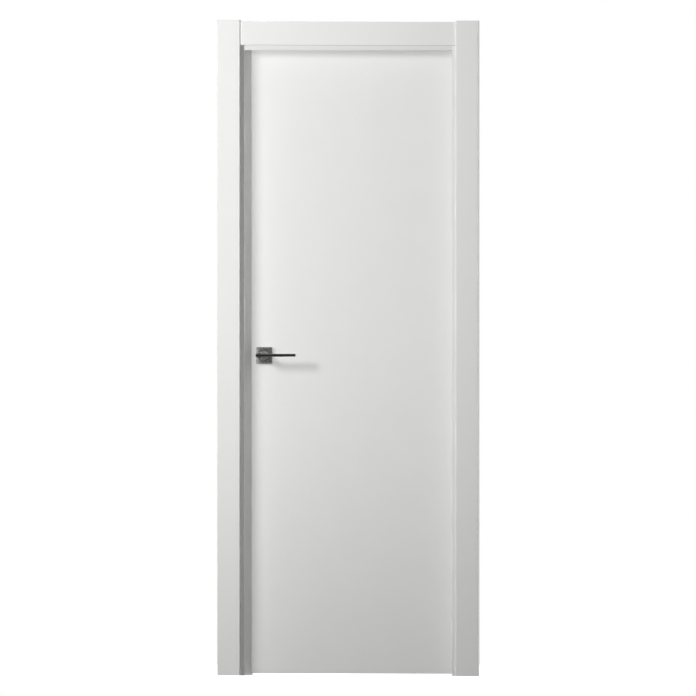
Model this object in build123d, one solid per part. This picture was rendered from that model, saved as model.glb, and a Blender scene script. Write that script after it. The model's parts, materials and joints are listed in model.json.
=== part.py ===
from build123d import *
from math import cos, pi, sin
import os

# Solid flush interior door, hung in a rebated jamb set with flat casings round its front.
# X runs across the doorway with the hinges at its high end, Y runs through the wall away from
# the casings, Z is up. The origin is on the face of the hinge jamb that is screwed to the wall,
# at floor level and halfway through the jamb's depth.

# Leaf
leaf_width = 725.0
leaf_height = 2030.0
leaf_thick = 40.0
skin_thick = 3.2
stile_width = 35.0
rail_height = 60.0
leaf_arris = 1.0

# Running gaps
edge_gap = 5.0        # leaf to rebate, at both sides and over the top
floor_gap = 7.0
seal_space = 3.0      # leaf to stop, filled by the seal
seal_clear = 0.3      # seal to leaf
slide_clear = 0.3     # latch bolt in its channel
turn_clear = 0.08     # turning shafts in their holes
face_clear = 0.3      # turning faces
tail_clear = 1.0      # drawn-in bolt to the end of its channel
overrun = 1.0         # cutters past the faces that they open
near = 1e-3           # places of edges

# Jambs
jamb_thick = 32.0
stop_depth = 69.0     # jamb front edge to the face that the seal sits on
stop_lap = 5.0        # stops over the leaf's edges
jamb_round = 2.0
seal_width = 8.0
seal_inset = 1.0      # seal behind the stop's edge
seal_round = 1.2

# Casings
casing_width = 77.0
casing_thick = 14.0
head_casing_thick = 7.5
casing_round = 1.2
casing_rise = 4.5     # side casings above the head casing
casing_joint = 2.0    # open joint at both ends of the head casing
latch_lip = 11.5      # jamb edges left bare
hinge_lip = 19.0
head_lip = 17.5

# Hinges
hinge_height = 102.0
hinge_inset = 220.0   # leaf end to the middle of the outer hinges
plate_thick = 2.5
plate_depth = 30.0
plate_round = 5.0
knuckle_count = 5
knuckle_gap = 0.3
barrel_radius = 6.5
barrel_offset = 7.5   # barrel's axis behind the leaf
pin_radius = 3.0
pin_head = 3.0

# Handle
handle_z = 1040.0
backset = 50.0
rosette_size = 55.0
rosette_thick = 8.0
rosette_corner = 4.0
rosette_bevel = 1.2
collar_radius = 14.0
collar_rise = 3.0     # round collar on the rosette
neck_radius = 11.0
journal_radius = 8.0
grip_height = 10.0
grip_depth = 12.0
grip_front = 56.0     # leaf face to the grip's outer edge
grip_heel = 11.5      # spindle's axis to the grip's blunt end
grip_reach = 124.0    # spindle's axis to the grip's tip
grip_bevel = 0.8
neck_bevel = 3.0
spindle_size = 8.0
spindle_socket = 22.0
spindle_hole_radius = 9.0

# Latch
bolt_thick = 12.0
bolt_height = 20.0
bolt_throw = 12.5
bolt_tail = 26.0
bolt_nose = 3.5
lead_radius = 26.0    # bow of the bolt's lead face
case_thick = 16.0
case_height = 60.0
case_depth = 72.0
case_play = 0.5       # case in its mortise
faceplate_thick = 3.0
faceplate_width = 24.0
faceplate_height = 110.0
hub_hole_radius = 6.2
strike_thick = 2.0
strike_height = 80.0
strike_play = 1.5     # bolt in the strike's hole
pocket_depth = 12.0

# Places across the doorway
rebate_width = leaf_width + 2 * edge_gap
frame_width = rebate_width + 2 * (jamb_thick - edge_gap - stop_lap)
hinge_rebate_x = edge_gap + stop_lap - jamb_thick
hinge_stop_x = -jamb_thick
latch_wall_x = -frame_width
latch_rebate_x = hinge_rebate_x - rebate_width
latch_stop_x = latch_wall_x + jamb_thick
leaf_x1 = hinge_rebate_x - edge_gap
leaf_x0 = leaf_x1 - leaf_width

# Places through the wall
jamb_depth = stop_depth + seal_space + leaf_thick
front_y = -jamb_depth / 2
back_y = jamb_depth / 2
stop_y = front_y + stop_depth
leaf_y0 = stop_y + seal_space
leaf_y1 = leaf_y0 + leaf_thick
leaf_mid_y = (leaf_y0 + leaf_y1) / 2

# Heights
leaf_z0 = floor_gap
leaf_z1 = leaf_z0 + leaf_height
rebate_z = leaf_z1 + edge_gap
opening_z = rebate_z - edge_gap - stop_lap
frame_top_z = opening_z + jamb_thick
casing_top_z = opening_z + head_lip + casing_width

# Axes
pin_x = (leaf_x1 + hinge_rebate_x) / 2
pin_y = leaf_y1 + barrel_offset
spindle_x = leaf_x0 + backset


def block(x0, x1, y0, y1, z0, z1):
    middle = Pos((x0 + x1) / 2, (y0 + y1) / 2, (z0 + z1) / 2)
    return middle * Box(x1 - x0, y1 - y0, z1 - z0)


def rod_z(x, y, z0, z1, radius):
    return Pos(x, y, (z0 + z1) / 2) * Cylinder(radius, z1 - z0)


def rod_y(x, z, y0, y1, radius):
    return Pos(x, (y0 + y1) / 2, z) * Rot(X=90) * Cylinder(radius, y1 - y0)


def edges_at(edges, **places):
    for name, place in places.items():
        edges = [edge for edge in edges if abs(getattr(edge.center(), name) - place) < near]
    return edges


# Rebated jambs: a thick front part whose end is the stop, a thin back part beside the leaf
def side_jamb(wall_x, stop_x, rebate_x):
    front = block(*sorted((wall_x, stop_x)), front_y, stop_y, 0, frame_top_z)
    back = block(*sorted((wall_x, rebate_x)), stop_y, back_y, 0, frame_top_z)
    jamb = front + back
    return fillet(edges_at(jamb.edges().filter_by(Axis.Z), X=stop_x, Y=front_y), jamb_round)


def head_jamb():
    front = block(latch_stop_x, hinge_stop_x, front_y, stop_y, opening_z, frame_top_z)
    back = block(latch_rebate_x, hinge_rebate_x, stop_y, back_y, rebate_z, frame_top_z)
    jamb = front + back
    return fillet(edges_at(jamb.edges().filter_by(Axis.X), Y=front_y, Z=opening_z), jamb_round)


# Flat casings: full-height sides with the head casing cut square between them
def side_casing(inner_x, outward):
    outer_x = inner_x + outward * casing_width
    face_y = front_y - casing_thick
    board = block(*sorted((inner_x, outer_x)), face_y, front_y, 0, casing_top_z + casing_rise)
    return fillet(edges_at(board.edges().filter_by(Axis.Z), Y=face_y), casing_round)


def head_casing(x0, x1):
    face_y = front_y - head_casing_thick
    board = block(x0 + casing_joint, x1 - casing_joint, face_y, front_y,
                  casing_top_z - casing_width, casing_top_z)
    return fillet(edges_at(board.edges().filter_by(Axis.X), Y=face_y), casing_round)


# Compression seal against the stop, rounded towards the leaf
def seal(x0, x1, z0, z1, run):
    face_y = leaf_y0 - seal_clear
    strip = block(x0, x1, stop_y, face_y, z0, z1)
    return fillet(edges_at(strip.edges().filter_by(run), Y=face_y), seal_round)


# Butt hinge: alternate knuckles of the frame plate and the leaf plate round one pin
def hinge_plate(inner_x, outward, z_mid, first_knuckle):
    z0 = z_mid - hinge_height / 2
    z1 = z_mid + hinge_height / 2
    x0, x1 = sorted((inner_x, inner_x + outward * plate_thick))
    plate = block(x0, x1, leaf_y1 - plate_depth, leaf_y1, z0, z1)
    corners = edges_at(plate.edges().filter_by(Axis.X), Y=leaf_y1 - plate_depth)
    plate = fillet(corners, plate_round)
    pitch = (hinge_height + knuckle_gap) / knuckle_count
    for index in range(first_knuckle, knuckle_count, 2):
        low = z0 + index * pitch
        high = low + pitch - knuckle_gap
        plate += block(x0, x1, leaf_y1, pin_y, low, high)
        plate += rod_z(pin_x, pin_y, low, high, barrel_radius)
    return plate - rod_z(pin_x, pin_y, z0 - overrun, z1 + overrun, pin_radius + turn_clear)


def hinge_pin(z_mid):
    z0 = z_mid - hinge_height / 2
    z1 = z_mid + hinge_height / 2
    pin = rod_z(pin_x, pin_y, z0, z1, pin_radius)
    for low in (z0 - pin_head, z1):
        pin += rod_z(pin_x, pin_y, low, low + pin_head, barrel_radius)
    return pin


# Handle: square rosette with a round collar, round neck, square grip pointing to the hinges
def rosette(face_y, facing):
    outer_y = face_y + facing * rosette_thick
    collar_y = outer_y + facing * collar_rise
    half = rosette_size / 2
    y0, y1 = sorted((face_y, outer_y))
    plate = block(spindle_x - half, spindle_x + half, y0, y1, handle_z - half, handle_z + half)
    plate = fillet(plate.edges().filter_by(Axis.Y), rosette_corner)
    plate = chamfer(edges_at(plate.edges(), Y=outer_y), rosette_bevel)
    plate += rod_y(spindle_x, handle_z, *sorted((outer_y, collar_y)), collar_radius)
    bore_y0, bore_y1 = sorted((face_y - facing * overrun, collar_y + facing * overrun))
    return plate - rod_y(spindle_x, handle_z, bore_y0, bore_y1, journal_radius + turn_clear)


def lever(face_y, facing):
    def depths(low, high):
        return sorted((face_y + facing * low, face_y + facing * high))

    neck_foot = rosette_thick + collar_rise + face_clear
    neck_end = grip_front - grip_depth / 2
    neck = rod_y(spindle_x, handle_z, *depths(neck_foot, neck_end), neck_radius)
    neck = chamfer(edges_at(neck.edges(), Y=face_y + facing * neck_end), neck_bevel)
    grip = block(spindle_x - grip_heel, spindle_x + grip_reach, *depths(grip_front - grip_depth, grip_front),
                 handle_z - grip_height / 2, handle_z + grip_height / 2)
    grip = chamfer(grip.edges(), grip_bevel)
    journal = rod_y(spindle_x, handle_z, *depths(face_clear, neck_foot), journal_radius)
    return neck + grip + journal - spindle_bar(*depths(0, spindle_socket))


def spindle_bar(y0, y1):
    half = spindle_size / 2
    return block(spindle_x - half, spindle_x + half, y0, y1, handle_z - half, handle_z + half)


# Latch: a spring bolt with a rounded lead face, its case, faceplate and strike
def bolt():
    tip_x = leaf_x0 - bolt_throw
    tail_x = leaf_x0 + bolt_tail
    y0 = leaf_mid_y - bolt_thick / 2
    y1 = leaf_mid_y + bolt_thick / 2
    nose_y = y1 - bolt_nose
    outline = Polyline((leaf_x0, y0), (tail_x, y0), (tail_x, y1), (tip_x, y1), (tip_x, nose_y))
    lead = RadiusArc((leaf_x0, y0), (tip_x, nose_y), lead_radius)
    face = make_face(outline + lead)
    return Pos(0, 0, handle_z - bolt_height / 2) * extrude(face, bolt_height)


def bolt_channel(play, x0, x1):
    half_y = bolt_thick / 2 + play
    half_z = bolt_height / 2 + play
    return block(x0, x1, leaf_mid_y - half_y, leaf_mid_y + half_y, handle_z - half_z, handle_z + half_z)


def case_block(play):
    x0 = leaf_x0 + faceplate_thick
    half_y = case_thick / 2 + play
    half_z = case_height / 2 + play
    return block(x0, x0 + case_depth + play, leaf_mid_y - half_y, leaf_mid_y + half_y,
                 handle_z - half_z, handle_z + half_z)


def latch_case():
    channel_end = leaf_x0 + bolt_tail + bolt_throw + tail_clear
    case = case_block(0) - bolt_channel(slide_clear, leaf_x0, channel_end)
    return case - rod_y(spindle_x, handle_z, leaf_y0, leaf_y1, hub_hole_radius)


def faceplate_blank():
    half_y = faceplate_width / 2
    half_z = faceplate_height / 2
    return block(leaf_x0, leaf_x0 + faceplate_thick, leaf_mid_y - half_y, leaf_mid_y + half_y,
                 handle_z - half_z, handle_z + half_z)


def faceplate():
    x0 = leaf_x0 - overrun
    x1 = leaf_x0 + faceplate_thick + overrun
    return faceplate_blank() - bolt_channel(slide_clear, x0, x1)


def strike_blank():
    half_z = strike_height / 2
    return block(latch_rebate_x - strike_thick, latch_rebate_x, leaf_mid_y - faceplate_width / 2, back_y,
                 handle_z - half_z, handle_z + half_z)


def strike_plate():
    return strike_blank() - bolt_channel(strike_play, latch_wall_x, leaf_x0)


# Leaf: two skins on a frame of stiles and rails, with a solid core
def leaf_boards():
    core_y0 = leaf_y0 + skin_thick
    core_y1 = leaf_y1 - skin_thick
    inner_x0 = leaf_x0 + stile_width
    inner_x1 = leaf_x1 - stile_width
    inner_z0 = leaf_z0 + rail_height
    inner_z1 = leaf_z1 - rail_height
    skin_front = block(leaf_x0, leaf_x1, leaf_y0, core_y0, leaf_z0, leaf_z1)
    skin_back = block(leaf_x0, leaf_x1, core_y1, leaf_y1, leaf_z0, leaf_z1)
    return {
        "leaf_skin_front": chamfer(edges_at(skin_front.edges(), Y=leaf_y0), leaf_arris),
        "leaf_skin_back": chamfer(edges_at(skin_back.edges(), Y=leaf_y1), leaf_arris),
        "stile_latch_side": block(leaf_x0, inner_x0, core_y0, core_y1, leaf_z0, leaf_z1),
        "stile_hinge_side": block(inner_x1, leaf_x1, core_y0, core_y1, leaf_z0, leaf_z1),
        "rail_bottom": block(inner_x0, inner_x1, core_y0, core_y1, leaf_z0, inner_z0),
        "rail_top": block(inner_x0, inner_x1, core_y0, core_y1, inner_z1, leaf_z1),
        "leaf_core": block(inner_x0, inner_x1, core_y0, core_y1, inner_z0, inner_z1),
    }


hinge_middles = {
    "bottom": leaf_z0 + hinge_inset,
    "middle": (leaf_z0 + leaf_z1) / 2,
    "top": leaf_z1 - hinge_inset,
}

nodes = {}

# Hinges come first: the jamb and the leaf are let in for their plates
for place, z_mid in hinge_middles.items():
    nodes["hinge_frame_plate_" + place] = hinge_plate(hinge_rebate_x, 1, z_mid, 0)
    nodes["hinge_leaf_plate_" + place] = hinge_plate(leaf_x1, -1, z_mid, 1)
    nodes["hinge_pin_" + place] = hinge_pin(z_mid)

# Jambs with their mortises
hinge_jamb = side_jamb(0, hinge_stop_x, hinge_rebate_x)
for place in hinge_middles:
    hinge_jamb -= nodes["hinge_frame_plate_" + place]
latch_jamb = side_jamb(latch_wall_x, latch_stop_x, latch_rebate_x)
latch_jamb -= strike_blank()
pocket_x = latch_rebate_x - strike_thick - pocket_depth
latch_jamb -= bolt_channel(strike_play, pocket_x, latch_rebate_x)
nodes["jamb_hinge_side"] = hinge_jamb
nodes["jamb_latch_side"] = latch_jamb
nodes["jamb_head"] = head_jamb()
nodes["strike_plate"] = strike_plate()

# Casings, left and right as seen from the front
casing_x0 = latch_stop_x - latch_lip
casing_x1 = hinge_stop_x + hinge_lip
nodes["casing_left_front"] = side_casing(casing_x0, -1)
nodes["casing_right_front"] = side_casing(casing_x1, 1)
nodes["casing_head_front"] = head_casing(casing_x0, casing_x1)

# Seals
seal_x0 = latch_stop_x - seal_inset
seal_x1 = hinge_stop_x + seal_inset
seal_z = opening_z + seal_inset
nodes["seal_latch_side"] = seal(seal_x0 - seal_width, seal_x0, 0, seal_z + seal_width, Axis.Z)
nodes["seal_hinge_side"] = seal(seal_x1, seal_x1 + seal_width, 0, seal_z + seal_width, Axis.Z)
nodes["seal_head"] = seal(seal_x0, seal_x1, seal_z, seal_z + seal_width, Axis.X)

# Leaf with its mortises
recesses = [case_block(case_play), faceplate_blank()]
recesses.append(rod_y(spindle_x, handle_z, leaf_y0 - overrun, leaf_y1 + overrun, spindle_hole_radius))
recesses += [nodes["hinge_leaf_plate_" + place] for place in hinge_middles]
for name, board in leaf_boards().items():
    for recess in recesses:
        board -= recess
    nodes[name] = board

# Latch and handle
nodes["latch_case"] = latch_case()
nodes["latch_faceplate"] = faceplate()
nodes["latch_bolt"] = bolt()
nodes["rosette_front"] = rosette(leaf_y0, -1)
nodes["rosette_back"] = rosette(leaf_y1, 1)
nodes["lever_front"] = lever(leaf_y0, -1)
nodes["lever_back"] = lever(leaf_y1, 1)
nodes["spindle"] = spindle_bar(leaf_y0 - spindle_socket, leaf_y1 + spindle_socket)

os.makedirs("parts", exist_ok=True)
for name, shape in nodes.items():
    shape.label = name
    export_step(shape, f"parts/{name}.step")
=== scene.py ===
import json
import math

import bpy
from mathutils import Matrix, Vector

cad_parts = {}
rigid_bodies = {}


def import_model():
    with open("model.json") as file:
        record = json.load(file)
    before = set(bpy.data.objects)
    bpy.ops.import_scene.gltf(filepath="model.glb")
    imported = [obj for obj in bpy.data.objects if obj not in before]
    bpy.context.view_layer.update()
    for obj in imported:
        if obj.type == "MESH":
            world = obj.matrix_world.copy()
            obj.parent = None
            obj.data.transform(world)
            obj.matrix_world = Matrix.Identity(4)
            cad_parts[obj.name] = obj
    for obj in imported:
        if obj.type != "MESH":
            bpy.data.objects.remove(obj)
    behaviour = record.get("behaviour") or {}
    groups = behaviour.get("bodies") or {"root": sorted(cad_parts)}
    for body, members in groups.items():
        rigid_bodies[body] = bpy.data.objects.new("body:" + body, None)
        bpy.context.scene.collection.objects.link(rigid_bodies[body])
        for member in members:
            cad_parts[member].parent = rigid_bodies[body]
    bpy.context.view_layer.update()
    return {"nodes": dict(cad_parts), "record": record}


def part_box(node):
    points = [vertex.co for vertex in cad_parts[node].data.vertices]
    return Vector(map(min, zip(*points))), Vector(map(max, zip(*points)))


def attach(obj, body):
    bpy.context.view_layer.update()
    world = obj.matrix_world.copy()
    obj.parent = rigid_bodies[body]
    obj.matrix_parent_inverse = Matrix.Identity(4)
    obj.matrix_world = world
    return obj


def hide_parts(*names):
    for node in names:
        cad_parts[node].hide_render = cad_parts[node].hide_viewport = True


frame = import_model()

nodes = frame["nodes"]
slotOf = {row["node"]: row["material_slot"] for row in frame["record"]["subparts"]}
thirds = ["bottom", "middle", "top"]      # the three hinges
mm = 0.001
weldGap = 0.005 * mm      # vertices that lie closer become one
samePlace = 0.01 * mm     # for picking by place
alongAxis = 0.9           # for picking by direction, the normal's least share
print("frame loaded:", len(nodes), "CAD nodes")

# Places on the solids
doorMiddleX = (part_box("jamb_latch_side")[0].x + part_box("jamb_hinge_side")[1].x) / 2
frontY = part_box("casing_left_front")[0].y
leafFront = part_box("leaf_skin_front")[0].y
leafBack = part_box("leaf_skin_back")[1].y
spindleLow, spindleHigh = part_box("spindle")
spindleX, spindleZ = (spindleLow.x + spindleHigh.x) / 2, (spindleLow.z + spindleHigh.z) / 2
spindleAxis = (spindleX, 0, spindleZ)


# Selecting, as in the viewport
def deselectAll():
    if bpy.context.mode != "OBJECT":
        bpy.ops.object.mode_set(mode="OBJECT")
    bpy.ops.object.select_all(action="DESELECT")


def pickParts(obj, kind, test):
    bpy.ops.object.mode_set(mode="OBJECT")
    mesh = obj.data
    for items in (mesh.vertices, mesh.edges, mesh.polygons):
        for item in items:
            item.select = False
    if kind == "FACE":
        for face in mesh.polygons:
            face.select = test(face.center, face.normal)
    else:
        for edge in mesh.edges:
            a, b = (mesh.vertices[end].co for end in edge.vertices)
            edge.select = test(a, b)
    bpy.ops.object.mode_set(mode="EDIT")
    bpy.ops.mesh.select_mode(type=kind)


# Tests for pickParts: edges in a plane across an axis, and faces that look along an axis
def edgesAt(axis, place):
    def inPlane(point):
        return abs(getattr(point, axis) - place) < samePlace
    return lambda a, b: inPlane(a) and inPlane(b)


def facesAlong(axis, side=1):
    return lambda centre, normal: getattr(normal, axis) * side > alongAxis


def applyPlace():
    bpy.ops.object.transform_apply(location=True, rotation=True, scale=True)


def finishPiece(obj, name, smoothAngle=35):
    deselectAll()
    obj.select_set(True)
    bpy.context.view_layer.objects.active = obj
    applyPlace()
    bpy.ops.object.mode_set(mode="EDIT")
    bpy.ops.mesh.select_all(action="SELECT")
    bpy.ops.mesh.remove_doubles(threshold=weldGap)
    bpy.ops.mesh.normals_make_consistent(inside=False)
    bpy.ops.object.mode_set(mode="OBJECT")
    bpy.ops.object.shade_smooth_by_angle(angle=math.radians(smoothAngle))
    obj.name = name
    obj.data.name = name
    return obj


def applyModifier(obj, kind, **settings):
    modifier = obj.modifiers.new(kind.lower(), kind)
    for key, value in settings.items():
        setattr(modifier, key, value)
    bpy.context.view_layer.objects.active = obj
    bpy.ops.object.modifier_apply(modifier=modifier.name)


# A box between two corners, which edit mode then shapes
def addBox(low, high):
    deselectAll()
    low, high = Vector(low), Vector(high)
    bpy.ops.mesh.primitive_cube_add(size=1, location=(low + high) / 2)
    box = bpy.context.object
    box.scale = high - low
    applyPlace()
    return box


# A round bar along Y or Z from one place to another
def addBar(middle, axis, start, end, radius, sides):
    deselectAll()
    place = Vector(middle)
    setattr(place, axis, (start + end) / 2)
    turn = (math.pi / 2, 0, 0) if axis == "y" else (0, 0, 0)
    bpy.ops.mesh.primitive_cylinder_add(vertices=sides, radius=radius, depth=abs(end - start),
                                        location=place, rotation=turn)
    applyPlace()
    return bpy.context.object


# Turned steps from a picked round face: each row is its radius against the last one's, and its rise
def turnSteps(middle, axis, rows):
    for share, rise in rows:
        move = Vector((0, 0, 0))
        setattr(move, axis, rise)
        bpy.ops.mesh.extrude_region_move(TRANSFORM_OT_translate={"value": move})
        grow = [share] * 3
        grow["xyz".index(axis)] = 1
        bpy.ops.transform.resize(value=grow, center_override=middle)


def cutWith(obj, cutter, operation="DIFFERENCE"):
    deselectAll()
    obj.select_set(True)
    applyModifier(obj, "BOOLEAN", operation=operation, object=cutter, solver="EXACT")
    bpy.data.objects.remove(cutter)


def roundEdges(obj, width, segments, angle):
    applyModifier(obj, "BEVEL", width=width, segments=segments, limit_method="ANGLE",
                  angle_limit=math.radians(angle))


def copyPiece(obj):
    deselectAll()
    copy = obj.copy()
    copy.data = obj.data.copy()
    copy.parent = None
    for key in list(copy.keys()):
        del copy[key]
    bpy.context.collection.objects.link(copy)
    copy.select_set(True)
    bpy.context.view_layer.objects.active = copy
    return copy


# Front to back, across the leaf's middle
def mirrorCopy(obj, name):
    copy = copyPiece(obj)
    copy.scale = (1, -1, 1)
    copy.location = (0, leafFront + leafBack, 0)
    return finishPiece(copy, name)


def joinPieces(parts, name):
    deselectAll()
    for part in parts:
        part.select_set(True)
    bpy.context.view_layer.objects.active = parts[0]
    bpy.ops.object.join()
    return finishPiece(parts[0], name)


def placePiece(obj, body, material, replaced=()):
    obj.data.materials.clear()
    obj.data.materials.append(material)
    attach(obj, body)
    if replaced:
        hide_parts(*replaced)


# Camera: orthographic, since the photo's verticals and horizontals stay parallel
shot = {
    "azimuth": math.radians(19.5),
    "elevation": math.radians(0.5),
    "viewWidth": 2.262,     # metres across the frame
    "aimHeight": 1.0657,
    "aimShift": 0.0048,     # along the camera's right
    "distance": 12.0,
    "clipEnd": 36.0,
}


def placeCamera():
    a, e = shot["azimuth"], shot["elevation"]
    right = Vector((math.cos(a), math.sin(a), 0))
    back = Vector((math.sin(a) * math.cos(e), -math.cos(a) * math.cos(e), math.sin(e)))
    aim = Vector((doorMiddleX, frontY, shot["aimHeight"])) + right * shot["aimShift"]
    deselectAll()
    bpy.ops.object.camera_add(location=aim + back * shot["distance"],
                              rotation=(math.pi / 2 - e, 0, a))
    camera = bpy.context.object
    camera.name = "shotCamera"
    camera.data.type = "ORTHO"
    camera.data.ortho_scale = shot["viewWidth"]
    camera.data.clip_end = shot["clipEnd"]
    bpy.context.scene.camera = camera


placeCamera()
print("camera placed")


# Node helpers
noiseLow, noiseHigh = 0.3, 0.7      # where most of a noise's values lie


def newMaterial(name):
    material = bpy.data.materials.new(name)
    material.use_nodes = True
    tree = material.node_tree
    tree.nodes.clear()
    output = tree.nodes.new("ShaderNodeOutputMaterial")
    shader = tree.nodes.new("ShaderNodeBsdfPrincipled")
    tree.links.new(shader.outputs["BSDF"], output.inputs["Surface"])
    return material, tree, shader


def objectCoords(tree, stretch=(1, 1, 1)):
    coords = tree.nodes.new("ShaderNodeTexCoord")
    mapping = tree.nodes.new("ShaderNodeMapping")
    mapping.inputs["Scale"].default_value = stretch
    tree.links.new(coords.outputs["Object"], mapping.inputs["Vector"])
    return mapping.outputs["Vector"]


def noise(tree, vector, scale, detail=3.0, rough=0.5):
    texture = tree.nodes.new("ShaderNodeTexNoise")
    texture.inputs["Scale"].default_value = scale
    texture.inputs["Detail"].default_value = detail
    texture.inputs["Roughness"].default_value = rough
    tree.links.new(vector, texture.inputs["Vector"])
    return texture.outputs["Fac"]


def ramp(tree, fac, stops):
    node = tree.nodes.new("ShaderNodeValToRGB")
    elements = node.color_ramp.elements
    while len(elements) < len(stops):
        elements.new(0.5)
    for element, (place, color) in zip(elements, stops):
        element.position = place
        element.color = (*color, 1)
    tree.links.new(fac, node.inputs["Fac"])
    return node.outputs["Color"]


def blendTones(tree, fac, low, high):
    return ramp(tree, fac, [(noiseLow, low), (noiseHigh, high)])


def spread(tree, fac, low, high):
    node = tree.nodes.new("ShaderNodeMapRange")
    node.inputs["From Min"].default_value = noiseLow
    node.inputs["From Max"].default_value = noiseHigh
    node.inputs["To Min"].default_value = low
    node.inputs["To Max"].default_value = high
    tree.links.new(fac, node.inputs["Value"])
    return node.outputs["Result"]


def bump(tree, height, distance, strength, under=None):
    node = tree.nodes.new("ShaderNodeBump")
    node.inputs["Strength"].default_value = strength
    node.inputs["Distance"].default_value = distance
    tree.links.new(height, node.inputs["Height"])
    if under is not None:
        tree.links.new(under, node.inputs["Normal"])
    return node.outputs["Normal"]


# White lacquer on boards: orange peel in the film, a slow wave under it, slight mottling
lacquer = {
    "frameTone": (0.800, 0.800, 0.788),
    # The jambs carry the casings' white lacquer, painted darker as painted shade in the recess
    # round the opening
    "jambShadedTone": (0.730, 0.730, 0.718),
    "leafTone": (0.800, 0.802, 0.796),
    "frameRoughness": 0.42,
    "jambRoughness": 0.30,
    "leafRoughness": 0.36,
    "glossier": 0.03,       # how far the film's roughness strays
    "duller": 0.04,
    "jambUneven": 0.25,     # the jambs' share of the wave and of the film's straying
    "specular": 0.4,
    "mottle": 0.012,
    "mottleScale": 9.0,
    "filmScale": 60.0,
    "peelScale": 420.0,
    "peelDepth": 0.03 * mm,
    "peelStrength": 0.6,
    "waveScale": 14.0,
    "waveDepth": 0.25 * mm,
    "waveStrength": 0.5,
}


def lacquerMaterial(name, tone, roughness, uneven=1.0):
    material, tree, shader = newMaterial(name)
    place = objectCoords(tree)
    low = tuple(c - lacquer["mottle"] for c in tone)
    clouds = noise(tree, place, lacquer["mottleScale"], detail=4.0, rough=0.6)
    tree.links.new(blendTones(tree, clouds, low, tone), shader.inputs["Base Color"])
    film = noise(tree, place, lacquer["filmScale"])
    strayed = spread(tree, film, roughness - lacquer["glossier"] * uneven,
                     roughness + lacquer["duller"] * uneven)
    tree.links.new(strayed, shader.inputs["Roughness"])
    wave = bump(tree, noise(tree, place, lacquer["waveScale"], detail=1.0),
                lacquer["waveDepth"] * uneven, lacquer["waveStrength"])
    peel = bump(tree, noise(tree, place, lacquer["peelScale"], detail=2.0),
                lacquer["peelDepth"], lacquer["peelStrength"], wave)
    tree.links.new(peel, shader.inputs["Normal"])
    shader.inputs["Specular IOR Level"].default_value = lacquer["specular"]
    return material


# Raw chipboard inside the leaf
chipboard = {
    "tones": [(0.50, 0.36, 0.21), (0.66, 0.50, 0.32), (0.76, 0.62, 0.44)],
    "roughness": 0.85,
    "chipScale": 260.0,
    "chipStretch": (1, 1.6, 1),
    "chipDepth": 0.4 * mm,
    "chipStrength": 0.7,
}


def chipboardMaterial():
    material, tree, shader = newMaterial("rawChipboard")
    chips = tree.nodes.new("ShaderNodeTexVoronoi")
    chips.inputs["Scale"].default_value = chipboard["chipScale"]
    tree.links.new(objectCoords(tree, chipboard["chipStretch"]), chips.inputs["Vector"])
    last = len(chipboard["tones"]) - 1
    stops = [(index / last, tone) for index, tone in enumerate(chipboard["tones"])]
    tree.links.new(ramp(tree, chips.outputs["Color"], stops), shader.inputs["Base Color"])
    rough = bump(tree, chips.outputs["Distance"], chipboard["chipDepth"], chipboard["chipStrength"])
    tree.links.new(rough, shader.inputs["Normal"])
    shader.inputs["Roughness"].default_value = chipboard["roughness"]
    return material


# Pale grey rubber of the seal
rubber = {
    "tones": ((0.50, 0.50, 0.49), (0.56, 0.56, 0.55)),
    "roughness": 0.62,
    "grainScale": 900.0,
    "grainDepth": 0.05 * mm,
    "grainStrength": 0.6,
}


def rubberMaterial():
    material, tree, shader = newMaterial("sealRubber")
    grain = noise(tree, objectCoords(tree), rubber["grainScale"])
    tree.links.new(blendTones(tree, grain, *rubber["tones"]), shader.inputs["Base Color"])
    tree.links.new(bump(tree, grain, rubber["grainDepth"], rubber["grainStrength"]),
                   shader.inputs["Normal"])
    shader.inputs["Roughness"].default_value = rubber["roughness"]
    return material


# Satin steel, brushed along Z, and darker on the screws
steel = {
    "hingeTones": ((0.50, 0.49, 0.47), (0.60, 0.59, 0.57)),
    "screwTones": ((0.25, 0.24, 0.23), (0.34, 0.335, 0.32)),
    "roughness": (0.26, 0.40),
    "brushScale": 2600.0,
    "brushStretch": (1, 1, 0.03),
    "brushDepth": 0.02 * mm,
    "brushStrength": 0.5,
}


def steelMaterial(name, tones):
    material, tree, shader = newMaterial(name)
    place = objectCoords(tree, steel["brushStretch"])
    brush = noise(tree, place, steel["brushScale"], detail=4.0, rough=0.6)
    tree.links.new(blendTones(tree, brush, *tones), shader.inputs["Base Color"])
    tree.links.new(spread(tree, brush, *steel["roughness"]), shader.inputs["Roughness"])
    tree.links.new(bump(tree, brush, steel["brushDepth"], steel["brushStrength"]),
                   shader.inputs["Normal"])
    shader.inputs["Metallic"].default_value = 1.0
    return material


# Nickel of the handle, polished on the lever along its length and duller on the rosette; the
# lever's tone is painted darker than the rosette's as a painted dark reflection
nickel = {
    # Painted dark reflection: the lever's tone is set well below the rosette's
    "leverDarkReflectionTone": (0.30, 0.295, 0.29),
    "rosetteTone": (0.52, 0.512, 0.498),
    "leverRoughness": 0.12,
    "rosetteRoughness": 0.27,
    "glossier": 0.03,
    "duller": 0.04,
    "cloudScale": 55.0,
    "cloudShade": 0.94,     # the darker clouds' share of the tone
    "polishScale": 1800.0,
    "polishStretch": (0.05, 1, 1),
    "polishDepth": 0.006 * mm,
    "polishStrength": 0.3,
}


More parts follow.
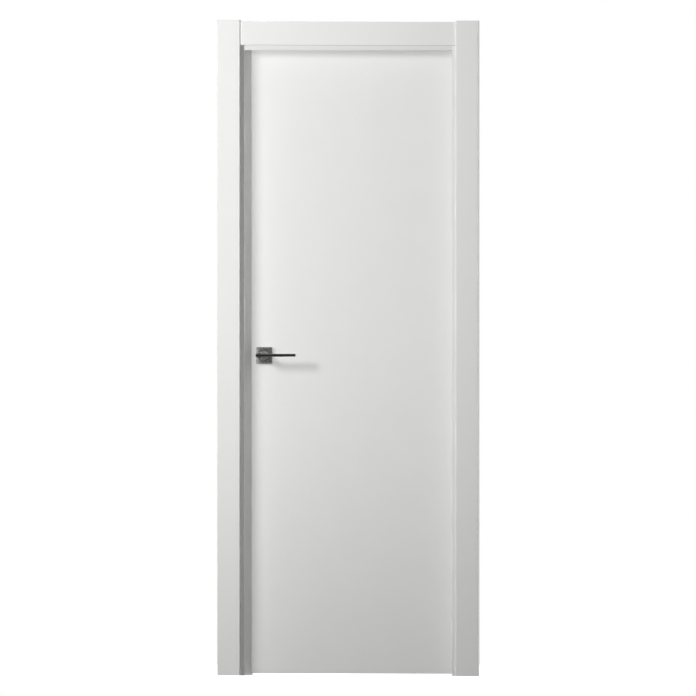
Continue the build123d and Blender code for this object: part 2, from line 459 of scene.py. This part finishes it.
def nickelMaterial(name, tone, roughness):
    material, tree, shader = newMaterial(name)
    cloud = noise(tree, objectCoords(tree), nickel["cloudScale"], detail=4.0, rough=0.6)
    low = tuple(c * nickel["cloudShade"] for c in tone)
    tree.links.new(blendTones(tree, cloud, low, tone), shader.inputs["Base Color"])
    polish = noise(tree, objectCoords(tree, nickel["polishStretch"]), nickel["polishScale"])
    strayed = spread(tree, polish, roughness - nickel["glossier"], roughness + nickel["duller"])
    tree.links.new(strayed, shader.inputs["Roughness"])
    tree.links.new(bump(tree, polish, nickel["polishDepth"], nickel["polishStrength"]),
                   shader.inputs["Normal"])
    shader.inputs["Metallic"].default_value = 1.0
    return material


frameLacquer = lacquerMaterial("frameLacquer", lacquer["frameTone"], lacquer["frameRoughness"])
leafLacquer = lacquerMaterial("leafLacquer", lacquer["leafTone"], lacquer["leafRoughness"])
# The jambs' lacquer has a darker tone painted in, as painted shade
jambShadedLacquer = lacquerMaterial("jambShadedLacquer", lacquer["jambShadedTone"], lacquer["jambRoughness"],
                              lacquer["jambUneven"])
satinSteel = steelMaterial("satinSteel", steel["hingeTones"])
screwSteel = steelMaterial("screwSteel", steel["screwTones"])
# The lever's nickel has a painted dark reflection in its darker tone
leverNickel = nickelMaterial("leverNickel", nickel["leverDarkReflectionTone"], nickel["leverRoughness"])
rosetteNickel = nickelMaterial("rosetteNickel", nickel["rosetteTone"], nickel["rosetteRoughness"])
finishOfSlot = {
    "frame_lacquer": frameLacquer,
    "leaf_lacquer": leafLacquer,
    "core_board": chipboardMaterial(),
    "seal_rubber": rubberMaterial(),
    "hinge_steel": satinSteel,
    "handle_nickel": leverNickel,
}
ownFinish = {"rosette": rosetteNickel, "jamb": jambShadedLacquer}      # by the first word of the name

for name, obj in nodes.items():
    obj.data.materials.clear()
    obj.data.materials.append(ownFinish.get(name.split("_")[0], finishOfSlot[slotOf[name]]))
print("materials made")


# Countersunk screws with a cross recess, proud of their plate by a hair
screw = {
    "headRadius": 3.6 * mm,
    "sides": 32,
    "rimHeight": 0.35 * mm,
    "domeHeight": 0.35 * mm,
    "domeInsets": (0.4, 0.35),      # shares of the head's radius, half the dome's height each
    "slotLength": 4.4 * mm,
    "slotWidth": 1.0 * mm,
    "slotDepth": 0.9 * mm,
    "shankSink": 1.2 * mm,
}
screwRows = {
    "plateRises": (-38 * mm, -13 * mm, 13 * mm, 38 * mm),      # from the hinge's middle
    "plateStagger": 4 * mm,
    "plateTurn": 0.7,               # each cross from the last one
    "latchRise": 46 * mm,           # faceplate's screws from the bolt
    "strikeRise": 30 * mm,
    "latchTurns": (-0.6, 1.4),      # lower and upper cross of faceplate and strike
}


# The master lies at the origin with its face towards +X
def makeScrewMaster():
    deselectAll()
    proud, sink = screw["rimHeight"], screw["shankSink"]
    bpy.ops.mesh.primitive_cylinder_add(vertices=screw["sides"], radius=screw["headRadius"],
                                        depth=sink + proud, location=((proud - sink) / 2, 0, 0),
                                        rotation=(0, math.pi / 2, 0))
    head = bpy.context.object
    applyPlace()
    pickParts(head, "FACE", facesAlong("x"))
    for share in screw["domeInsets"]:
        bpy.ops.mesh.inset(thickness=screw["headRadius"] * share)
        bpy.ops.transform.translate(value=(screw["domeHeight"] / 2, 0, 0))
    bpy.ops.object.mode_set(mode="OBJECT")
    for turn in (0, math.pi / 2):
        deselectAll()
        bpy.ops.mesh.primitive_cube_add(size=1, location=(proud + screw["domeHeight"], 0, 0))
        cutter = bpy.context.object
        cutter.scale = (screw["slotDepth"] * 2, screw["slotWidth"], screw["slotLength"])
        cutter.rotation_euler = (turn, 0, 0)
        applyPlace()
        cutWith(head, cutter)
    return finishPiece(head, "screwMaster")


def copyScrew(master, place, facing, turn):
    copy = copyPiece(master)
    copy.rotation_euler = (turn, 0, 0 if facing > 0 else math.pi)
    copy.location = place
    applyPlace()
    return copy


# The screws of one plate, on its face at faceX: each row is a screw's Y, Z and turn
def setScrews(master, name, body, faceX, facing, rows):
    heads = [copyScrew(master, (faceX, y, z), facing, turn) for y, z, turn in rows]
    placePiece(joinPieces(heads, name), body, screwSteel)


def makeScrews():
    master = makeScrewMaster()
    for third in thirds:
        for body, carrier, facing in (("frame", "jamb_head", -1), ("leaf", "leaf_skin_back", 1)):
            low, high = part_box(f"hinge_{body}_plate_{third}")
            middleY, middleZ = (leafBack + low.y) / 2, (low.z + high.z) / 2
            rows = []
            for index, rise in enumerate(screwRows["plateRises"]):
                stagger = screwRows["plateStagger"] * (1 if index % 2 else -1)
                rows.append((middleY + stagger, middleZ + rise, screwRows["plateTurn"] * index))
            setScrews(master, f"hinge_screws_{body}_{third}", body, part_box(carrier)[1].x, facing,
                      rows)
    low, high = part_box("latch_bolt")
    middleY, middleZ = (low.y + high.y) / 2, (low.z + high.z) / 2
    for plate, body, rise, facing in (("latch_faceplate", "leaf", screwRows["latchRise"], -1),
                                      ("strike_plate", "frame", screwRows["strikeRise"], 1)):
        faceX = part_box(plate)[1 if facing > 0 else 0].x
        rows = [(middleY, middleZ + sign * rise, turn)
                for sign, turn in zip((-1, 1), screwRows["latchTurns"])]
        setScrews(master, f"{plate}_screws", body, faceX, facing, rows)
    bpy.data.objects.remove(master)


makeScrews()
print("screws made")


# Handles: the front one is modelled and the back one is its mirror image
rosette = {
    "half": 27.5 * mm,
    "thick": 8 * mm,
    "corner": 4 * mm,
    "cornerSegments": 10,
    "rim": 1.3 * mm,
    "rimSegments": 4,
    "footInset": 0.8 * mm,      # base plate under the cap
    "footHeight": 1.2 * mm,
    "collarRadius": 14 * mm,
    "collarRise": 3 * mm,
    "collarRim": 1.3 * mm,
    "collarSides": 96,
    "boreRadius": 8.1 * mm,
    "boreSides": 64,
}
lever = {
    "neckRadius": 11 * mm,
    "neckSides": 96,
    "neckFoot": 11.3 * mm,      # from the leaf's face
    "neckEnd": 50 * mm,
    "neckRim": 3 * mm,
    "neckSegments": 6,
    "grooveAt": 2.2 * mm,       # from the neck's foot
    "grooveWidth": 0.7 * mm,
    "grooveDepth": 0.5 * mm,
    "journalRadius": 8 * mm,
    "journalFoot": 0.3 * mm,
    "socketHalf": 4 * mm,
    "socketDepth": 22 * mm,
    "gripFront": 56 * mm,
    "gripDepth": 12 * mm,
    "gripHeight": 10.4 * mm,
    "heel": 11.5 * mm,
    "reach": 124 * mm,
    "tipShare": 0.88,           # of the grip's height and depth, at its tip
    "tipRise": 1.6 * mm,
    "edge": 0.5 * mm,
    "edgeSegments": 4,
    "edgeAngle": 40,
    "smoothAngle": 32,
}
# Fixing screw in its hole under the neck, with a six-sided key hole
grub = {
    "at": 24 * mm,              # from the leaf's face
    "holeRadius": 2.2 * mm,
    "clear": 0.05 * mm,
    "sides": 32,
    "sink": 1.6 * mm,
    "length": 3.2 * mm,
    "keyRadius": 1.2 * mm,
    "keyDepth": 1.6 * mm,
    "keySides": 6,
}
grubAxis = (spindleX, leafFront - grub["at"], 0)
neckUnderZ = spindleZ - lever["neckRadius"]


def makeRosette():
    faceY = leafFront - rosette["thick"]
    half, foot = rosette["half"], rosette["footHeight"]
    plate = addBox((spindleX - half, faceY, spindleZ - half),
                   (spindleX + half, leafFront - foot, spindleZ + half))
    pickParts(plate, "EDGE", lambda a, b: abs(a.y - b.y) > foot)
    bpy.ops.mesh.bevel(offset=rosette["corner"], segments=rosette["cornerSegments"])
    pickParts(plate, "FACE", facesAlong("y"))
    bpy.ops.mesh.inset(thickness=rosette["footInset"])
    bpy.ops.mesh.extrude_region_move(TRANSFORM_OT_translate={"value": (0, foot, 0)})
    pickParts(plate, "EDGE", edgesAt("y", faceY))
    bpy.ops.mesh.bevel(offset=rosette["rim"], segments=rosette["rimSegments"])
    bpy.ops.object.mode_set(mode="OBJECT")
    collarY = faceY - rosette["collarRise"]
    collar = addBar(spindleAxis, "y", faceY + foot, collarY, rosette["collarRadius"],
                    rosette["collarSides"])
    pickParts(collar, "EDGE", edgesAt("y", collarY))
    bpy.ops.mesh.bevel(offset=rosette["collarRim"], segments=rosette["rimSegments"])
    bpy.ops.object.mode_set(mode="OBJECT")
    cutWith(plate, collar, "UNION")
    bore = addBar(spindleAxis, "y", leafFront + foot, collarY - foot, rosette["boreRadius"],
                  rosette["boreSides"])
    cutWith(plate, bore)
    return finishPiece(plate, "rosette_cap_front")


# The neck is turned from its end to the journal that runs in the rosette
def makeNeck():
    footY, endY = leafFront - lever["neckFoot"], leafFront - lever["neckEnd"]
    radius, groove = lever["neckRadius"], lever["grooveWidth"]
    grooveY = footY - lever["grooveAt"] - groove
    neck = addBar(spindleAxis, "y", endY, grooveY, radius, lever["neckSides"])
    pickParts(neck, "EDGE", edgesAt("y", endY))
    bpy.ops.mesh.bevel(offset=lever["neckRim"], segments=lever["neckSegments"])
    pickParts(neck, "FACE", facesAlong("y"))
    narrow = 1 - lever["grooveDepth"] / radius
    journal = lever["journalRadius"] / radius
    journalLength = lever["neckFoot"] - lever["journalFoot"]
    turnSteps(spindleAxis, "y", [(narrow, 0), (1, groove), (1 / narrow, 0),
                                 (1, lever["grooveAt"]), (journal, 0), (1, journalLength)])
    bpy.ops.object.mode_set(mode="OBJECT")
    return neck


def makeGrip():
    gripY = leafFront - lever["gripFront"]
    halfHeight = lever["gripHeight"] / 2
    tipX = spindleX + lever["reach"]
    grip = addBox((spindleX - lever["heel"], gripY, spindleZ - halfHeight),
                  (tipX, gripY + lever["gripDepth"], spindleZ + halfHeight))
    pickParts(grip, "FACE", facesAlong("x"))
    tip = Vector((tipX, gripY + lever["gripDepth"] / 2, spindleZ))
    share = lever["tipShare"]
    bpy.ops.transform.resize(value=(1, share, share), center_override=tip)
    bpy.ops.transform.translate(value=(0, 0, lever["tipRise"]))
    bpy.ops.object.mode_set(mode="OBJECT")
    roundEdges(grip, lever["edge"], lever["edgeSegments"], lever["edgeAngle"])
    return grip


def makeLever():
    piece = makeNeck()
    cutWith(piece, makeGrip(), "UNION")
    half = lever["socketHalf"]
    socket = addBox((spindleX - half, leafFront - lever["socketDepth"], spindleZ - half),
                    (spindleX + half, leafFront + half, spindleZ + half))
    cutWith(piece, socket)
    hole = addBar(grubAxis, "z", neckUnderZ - half, neckUnderZ + grub["sink"] + grub["length"],
                  grub["holeRadius"], grub["sides"])
    cutWith(piece, hole)
    return finishPiece(piece, "lever_arm_front", lever["smoothAngle"])


def makeGrub():
    faceZ = neckUnderZ + grub["sink"]
    piece = addBar(grubAxis, "z", faceZ, faceZ + grub["length"],
                   grub["holeRadius"] - grub["clear"], grub["sides"])
    keyHole = addBar(grubAxis, "z", faceZ - grub["keyDepth"], faceZ + grub["keyDepth"],
                     grub["keyRadius"], grub["keySides"])
    cutWith(piece, keyHole)
    return finishPiece(piece, "lever_screw_front")


def makeHandles():
    fronts = [(makeRosette(), "leaf", "handle_nickel", rosetteNickel, ["rosette_front"]),
              (makeLever(), "handle", "handle_nickel", leverNickel, ["lever_front"]),
              (makeGrub(), "handle", "hinge_steel", screwSteel, [])]
    for piece, body, slot, material, replaced in fronts:
        back = mirrorCopy(piece, piece.name.replace("front", "back"))
        placePiece(piece, body, material, replaced)
        placePiece(back, body, material, [name.replace("front", "back") for name in replaced])


makeHandles()
print("handles made")


# Hinge pins with turned finials
pin = {
    "radius": 3 * mm,
    "sides": 48,
    "finial": [(2.05, 0), (1.05, 0.35 * mm), (1, 1.3 * mm), (0.94, 0.45 * mm), (0.82, 0.4 * mm),
               (0.6, 0.3 * mm), (0.3, 0.15 * mm)],
}


def makePins():
    for third in thirds:
        pinLow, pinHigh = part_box(f"hinge_pin_{third}")
        middle = (pinLow + pinHigh) / 2
        low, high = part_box(f"hinge_frame_plate_{third}")
        rod = addBar(middle, "z", low.z, high.z, pin["radius"], pin["sides"])
        for side, end in ((1, high.z), (-1, low.z)):
            outwards = facesAlong("z", side)
            pickParts(rod, "FACE", lambda c, n: outwards(c, n) and abs(c.z - end) < samePlace)
            turnSteps((middle.x, middle.y, end), "z",
                      [(share, rise * side) for share, rise in pin["finial"]])
        bpy.ops.object.mode_set(mode="OBJECT")
        piece = finishPiece(rod, f"hinge_finials_{third}")
        placePiece(piece, "frame", satinSteel, [f"hinge_pin_{third}"])


makePins()
print("hinge pins made")


# Plates, knuckles and bolt with eased edges: a copy of each solid, welded and bevelled
easing = {
    "width": 0.25 * mm,
    "segments": 2,
    "cornerAngle": 50,      # degrees from which an edge is eased
    "flatAngle": 1.0,       # and up to which faces are one
    "smoothAngle": 20,
}
easedNodes = {"strike_plate": "frame", "latch_faceplate": "leaf", "latch_bolt": "latch"}
for third in thirds:
    easedNodes[f"hinge_frame_plate_{third}"] = "frame"
    easedNodes[f"hinge_leaf_plate_{third}"] = "leaf"

# The jambs' front corners round the opening catch the light as a thin line
lip = {"round": 1.8 * mm, "segments": 5}


def weldedCopy(name):
    copy = copyPiece(nodes[name])
    bpy.ops.object.mode_set(mode="EDIT")
    bpy.ops.mesh.select_all(action="SELECT")
    bpy.ops.mesh.remove_doubles(threshold=weldGap)
    bpy.ops.mesh.dissolve_limited(angle_limit=math.radians(easing["flatAngle"]))
    bpy.ops.object.mode_set(mode="OBJECT")
    return copy


def easeEdges(name, body):
    copy = weldedCopy(name)
    roundEdges(copy, easing["width"], easing["segments"], easing["cornerAngle"])
    piece = finishPiece(copy, name + "_eased", easing["smoothAngle"])
    placePiece(piece, body, satinSteel, [name])


def roundLip(name, axis, inner):
    copy = weldedCopy(name)
    onFront, onInner = edgesAt("y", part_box(name)[0].y), edgesAt(axis, inner)
    pickParts(copy, "EDGE", lambda a, b: onFront(a, b) and onInner(a, b))
    bpy.ops.mesh.bevel(offset=lip["round"], segments=lip["segments"])
    piece = finishPiece(copy, name + "_rounded")
    placePiece(piece, "frame", jambShadedLacquer, [name])


for name, body in easedNodes.items():
    easeEdges(name, body)
roundLip("jamb_latch_side", "x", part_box("jamb_latch_side")[1].x)
roundLip("jamb_hinge_side", "x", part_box("jamb_hinge_side")[0].x)
roundLip("jamb_head", "z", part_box("jamb_head")[0].z)
print("edges eased")


# Studio: white ground and backdrop, a dim room in front, soft lamps in front of the leaf and a
# strong one from the upper left
studio = {
    "floorSize": 8.0,
    "floorTone": (0.9, 0.9, 0.9, 1),
    "floorRoughness": 0.9,
    "floorGlow": 0.75,
    # How bright the room is: by depth from in front of the door, 0, to behind it, 1, and by
    # height from below, 0, to above, 1. Polished metal sees the brighter of its two.
    "boardsByDepth": [(0.49, 0.06), (0.56, 0.95)],
    "metalByDepth": [(0.45, 0.0), (0.6, 1.0)],
    "metalByHeight": [(0.0, 0.55), (0.38, 0.40), (0.46, 0.05), (0.54, 0.05), (0.64, 0.75),
                      (1.0, 1.2)],
}
latchJamb = "jamb_latch_side_rounded"
# Offsets and aims start at the floor below the middle of the casings' face
lamps = {
    "upper": {"offset": (-0.8, -2.2, 2.6), "aim": (0, 0, 1.8), "size": (1.4, 0.6),
              "power": 24.5},
    "low": {"offset": (-0.8, -2.0, 0.9), "aim": (0, 0, 0.9), "size": (1.4, 0.6),
            "power": 15.0},
    "side": {"offset": (-3.96, -3.16, 3.45), "aim": (0, 0, 1.1), "size": (0.8, 1.55),
             "power": 177.0},
    "lip": {"offset": (-0.7, -3.5, 1.3), "aim": (-0.35, 0, 1.1), "size": (0.5, 1.6),
            "power": 24.0, "lit": [latchJamb]},
    "arris": {"offset": (2.6, -1.5, 1.2), "aim": (-0.35, 0, 1.05), "size": (1.5, 2.0),
              "power": 500.0, "lit": [latchJamb, "casing_left_front"], "gloss": True},
    "edge": {"offset": (-4.0, -1.75, 1.2), "aim": (0.35, 0, 1.05), "size": (1.2, 2.0),
             "power": 400.0, "lit": ["jamb_hinge_side_rounded", "casing_right_front"],
             "gloss": True},
    "rim": {"offset": (3.0, 0.6, 1.2), "aim": (0.45, 0.05, 1.1), "size": (0.6, 2.0),
            "power": 20.0},
}


def addLamp(name):
    lamp = lamps[name]
    base = Vector((doorMiddleX, frontY, 0))
    place = base + Vector(lamp["offset"])
    towards = base + Vector(lamp["aim"]) - place
    deselectAll()
    bpy.ops.object.light_add(type="AREA", location=place,
                             rotation=towards.to_track_quat("-Z", "Y").to_euler())
    light = bpy.context.object
    light.name = name + "Lamp"
    light.data.shape = "RECTANGLE"
    light.data.size, light.data.size_y = lamp["size"]
    light.data.energy = lamp["power"]
    # A gloss lamp only makes light lines on rounded corners, and no other lamp shows in metal
    light.visible_diffuse = not lamp.get("gloss", False)
    light.visible_glossy = lamp.get("gloss", False)
    return light


def gather(name, pieces, state):
    group = bpy.data.collections.new(name)
    for index, piece in enumerate(pieces):
        group.objects.link(bpy.data.objects[piece])
        group.collection_objects[index].light_linking.link_state = state
    return group


# A lamp with a list lights only what it names, and the others leave out the latch jamb, which
# stands in the casing's shade. The handle blocks the side lamp alone, and nothing else does.
def linkLamp(name, light):
    lamp = lamps[name]
    state = "INCLUDE" if "lit" in lamp else "EXCLUDE"
    lit = gather(name + "Lit", lamp.get("lit", [latchJamb]), state)
    light.light_linking.receiver_collection = lit
    state = "INCLUDE" if name == "side" else "EXCLUDE"
    blockers = gather(name + "Blockers", ["lever_arm_front", "rosette_cap_front"], state)
    light.light_linking.blocker_collection = blockers


# From -1..1 to 0..1
def toUnit(tree, value):
    node = tree.nodes.new("ShaderNodeMath")
    node.operation = "MULTIPLY_ADD"
    tree.links.new(value, node.inputs[0])
    node.inputs[1].default_value = 0.5
    node.inputs[2].default_value = 0.5
    return node.outputs[0]


def background(tree, color=None):
    shade = tree.nodes.new("ShaderNodeBackground")
    shade.inputs["Color"].default_value = (1, 1, 1, 1)
    if color is not None:
        tree.links.new(color, shade.inputs["Color"])
    return shade.outputs["Background"]


def greyRamp(tree, fac, stops):
    return ramp(tree, fac, [(place, (value,) * 3) for place, value in stops])


def setWorld():
    world = bpy.data.worlds.new("studioWorld")
    bpy.context.scene.world = world
    world.use_nodes = True
    tree = world.node_tree
    tree.nodes.clear()
    coords = tree.nodes.new("ShaderNodeTexCoord")
    split = tree.nodes.new("ShaderNodeSeparateXYZ")
    tree.links.new(coords.outputs["Generated"], split.inputs["Vector"])
    depth, rise = toUnit(tree, split.outputs["Y"]), toUnit(tree, split.outputs["Z"])
    boards = greyRamp(tree, depth, studio["boardsByDepth"])
    brighter = tree.nodes.new("ShaderNodeMix")
    brighter.data_type = "RGBA"
    brighter.blend_type = "LIGHTEN"
    brighter.inputs["Factor"].default_value = 1.0
    tree.links.new(greyRamp(tree, rise, studio["metalByHeight"]), brighter.inputs["A"])
    tree.links.new(greyRamp(tree, depth, studio["metalByDepth"]), brighter.inputs["B"])
    # Boards see one room, polished metal the other, and the camera plain white
    path = tree.nodes.new("ShaderNodeLightPath")
    last = background(tree, boards)
    for ray, shade in (("Is Glossy Ray", background(tree, brighter.outputs["Result"])),
                       ("Is Camera Ray", background(tree))):
        mix = tree.nodes.new("ShaderNodeMixShader")
        tree.links.new(path.outputs[ray], mix.inputs["Fac"])
        tree.links.new(last, mix.inputs[1])
        tree.links.new(shade, mix.inputs[2])
        last = mix.outputs["Shader"]
    output = tree.nodes.new("ShaderNodeOutputWorld")
    tree.links.new(last, output.inputs["Surface"])


def addFloor():
    deselectAll()
    bpy.ops.mesh.primitive_plane_add(size=studio["floorSize"], location=(doorMiddleX, 0, 0))
    floor = bpy.context.object
    floor.name = "studioFloor"
    material, tree, shader = newMaterial("paleGround")
    shader.inputs["Base Color"].default_value = studio["floorTone"]
    shader.inputs["Roughness"].default_value = studio["floorRoughness"]
    shader.inputs["Emission Color"].default_value = (1, 1, 1, 1)
    shader.inputs["Emission Strength"].default_value = studio["floorGlow"]
    floor.data.materials.append(material)
    floor.visible_diffuse = False      # the photo's ground throws no light on the door
    floor.visible_glossy = False


setWorld()
addFloor()
for name in lamps:
    linkLamp(name, addLamp(name))
bpy.context.scene.view_settings.view_transform = "Standard"
print("studio set")
